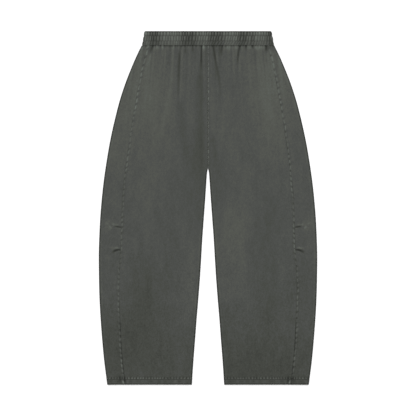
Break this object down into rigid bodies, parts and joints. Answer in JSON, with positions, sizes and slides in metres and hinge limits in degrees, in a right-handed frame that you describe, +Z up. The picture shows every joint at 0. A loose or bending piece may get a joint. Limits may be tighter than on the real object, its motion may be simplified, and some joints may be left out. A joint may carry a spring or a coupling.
{
  "type": "barrel leg trousers",
  "caption": "Washed cotton barrel leg trousers laid flat, with a gathered elastic waistband, curved leg seams, knee darts and topstitched hems.",
  "frame": {"origin": "on the surface that the trousers lie on, under the middle of their outline", "axes": "+X to the right as seen from above the front, +Y towards the waist, +Z up out of the front"},
  "size_m": [0.6226, 1.01, 0.0092],
  "materials": {
    "washed_cotton": "matt garment-washed cotton twill, faded along raised folds and seams",
    "gathered_cotton": "the same washed cotton, gathered finely over elastic",
    "stitch_thread": "matt cotton-wrapped sewing thread, tone on tone"
  },
  "bodies": {
    "root": {"waistband": "gathered_cotton", "front_left": "washed_cotton", "front_right": "washed_cotton", "side_left": "washed_cotton", "side_right": "washed_cotton", "back_left": "washed_cotton", "back_right": "washed_cotton"}
  },
  "joints": []
}
